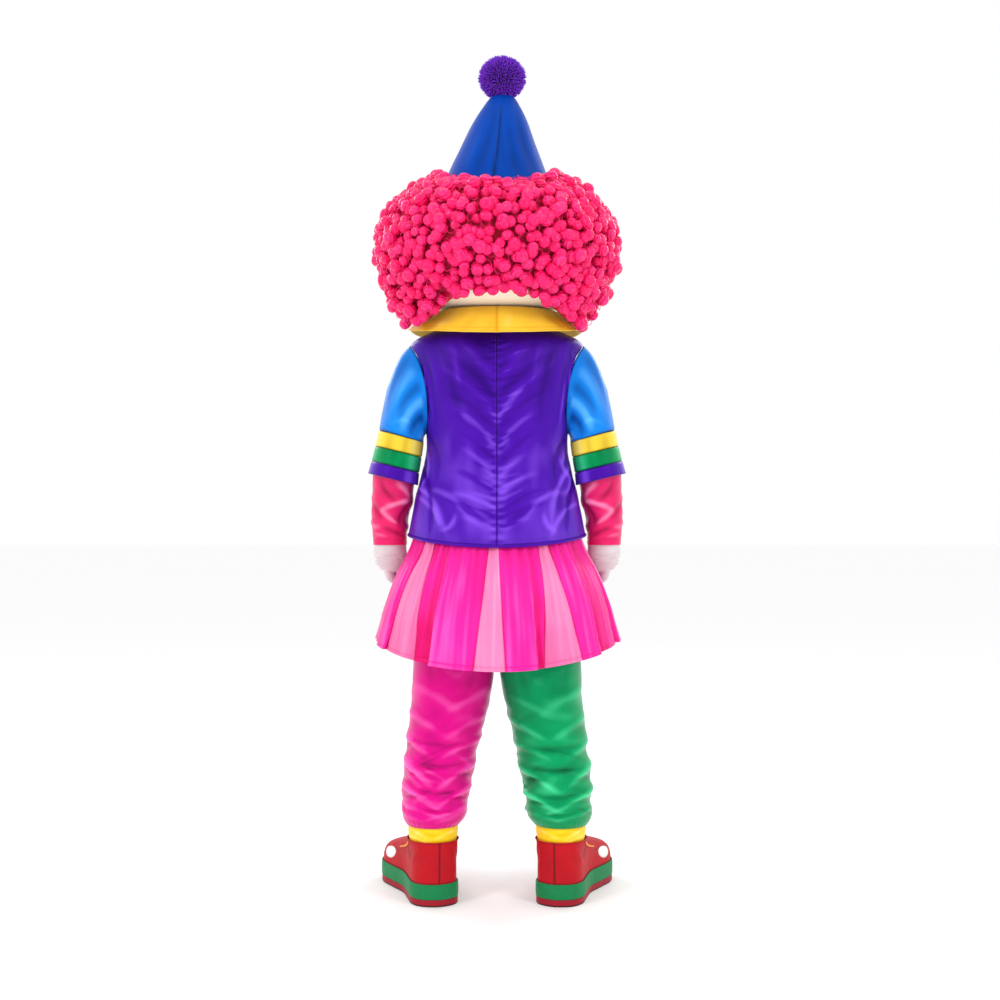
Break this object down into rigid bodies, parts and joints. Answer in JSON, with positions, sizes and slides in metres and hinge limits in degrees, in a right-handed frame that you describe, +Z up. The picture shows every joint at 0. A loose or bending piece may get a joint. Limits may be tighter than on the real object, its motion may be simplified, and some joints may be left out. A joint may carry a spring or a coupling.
{
  "type": "clown mascot costume",
  "caption": "Full clown mascot costume: cone hat, curly wig, oversized head, collar, vest, banded sleeves, gloves, gored skirt, two-colour trousers and big shoes.",
  "frame": {"origin": "base of the neck, midway between the shoulders, where the wearer carries the costume", "axes": "+Z up, -Y towards the costume's front, +X towards the wearer's left"},
  "size_m": [0.632, 0.5647, 2.0733],
  "materials": {
    "pompom_purple_plush": "short plush fur, dense and matt",
    "hat_blue_satin": "matt satin over a firm cone, sewn at the centre back",
    "wig_pink_curls": "glossy synthetic hair in tight ringlets",
    "head_white_shell": "moulded shell with a fine flocked face",
    "eye_black_screen": "open black mesh",
    "nose_red": "smooth foam ball with a soft gloss",
    "collar_yellow_satin": "satin with twin topstitching",
    "vest_purple_satin": "heavy satin with soft folds",
    "sleeve_blue_satin": "satin",
    "band_yellow_satin": "satin",
    "band_green_satin": "satin",
    "undersleeve_pink": "stretch knit with a wet-look face",
    "glove_white_jersey": "fine cotton jersey",
    "skirt_hot_pink_satin": "satin",
    "skirt_light_pink_satin": "satin",
    "trousers_pink_satin": "satin, slouched",
    "trousers_green_satin": "satin, slouched",
    "cuff_yellow_jersey": "smooth knit",
    "shoe_red_leather": "smooth synthetic leather",
    "shoe_green_rubber": "smooth foxing rubber",
    "shoe_red_rubber": "moulded sole rubber"
  },
  "bodies": {
    "root": {"pompom": "pompom_purple_plush", "hat_cone": "hat_blue_satin", "wig": "wig_pink_curls", "head_shell": "head_white_shell", "eye_screen_left": "eye_black_screen", "eye_screen_right": "eye_black_screen", "nose": "nose_red", "collar": "collar_yellow_satin", "vest_hem_binding": "vest_purple_satin", "skirt_waistband": "skirt_hot_pink_satin", "vest_back_left": "vest_purple_satin", "trouser_back_left": "trousers_pink_satin", "vest_back_right": "vest_purple_satin", "trouser_back_right": "trousers_green_satin", "vest_front_left": "vest_purple_satin", "trouser_front_left": "trousers_pink_satin", "vest_front_right": "vest_purple_satin", "trouser_front_right": "trousers_green_satin", "sleeve_left": "sleeve_blue_satin", "band_yellow_left": "band_yellow_satin", "band_green_left": "band_green_satin", "band_purple_left": "vest_purple_satin", "undersleeve_left": "undersleeve_pink", "glove_left": "glove_white_jersey", "ankle_cuff_left": "cuff_yellow_jersey", "shoe_upper_left": "shoe_red_leather", "shoe_band_left": "shoe_green_rubber", "shoe_sole_left": "shoe_red_rubber", "sleeve_right": "sleeve_blue_satin", "band_yellow_right": "band_yellow_satin", "band_green_right": "band_green_satin", "band_purple_right": "vest_purple_satin", "undersleeve_right": "undersleeve_pink", "glove_right": "glove_white_jersey", "ankle_cuff_right": "cuff_yellow_jersey", "shoe_upper_right": "shoe_red_leather", "shoe_band_right": "shoe_green_rubber", "shoe_sole_right": "shoe_red_rubber", "skirt_gore_01": "skirt_light_pink_satin", "skirt_gore_02": "skirt_hot_pink_satin", "skirt_gore_03": "skirt_light_pink_satin", "skirt_gore_04": "skirt_hot_pink_satin", "skirt_gore_05": "skirt_light_pink_satin", "skirt_gore_06": "skirt_hot_pink_satin", "skirt_gore_07": "skirt_light_pink_satin", "skirt_gore_08": "skirt_hot_pink_satin", "skirt_gore_09": "skirt_light_pink_satin", "skirt_gore_10": "skirt_hot_pink_satin", "skirt_gore_11": "skirt_light_pink_satin", "skirt_gore_12": "skirt_hot_pink_satin", "skirt_gore_13": "skirt_light_pink_satin", "skirt_gore_14": "skirt_hot_pink_satin", "skirt_gore_15": "skirt_light_pink_satin", "skirt_gore_16": "skirt_hot_pink_satin"}
  },
  "joints": []
}
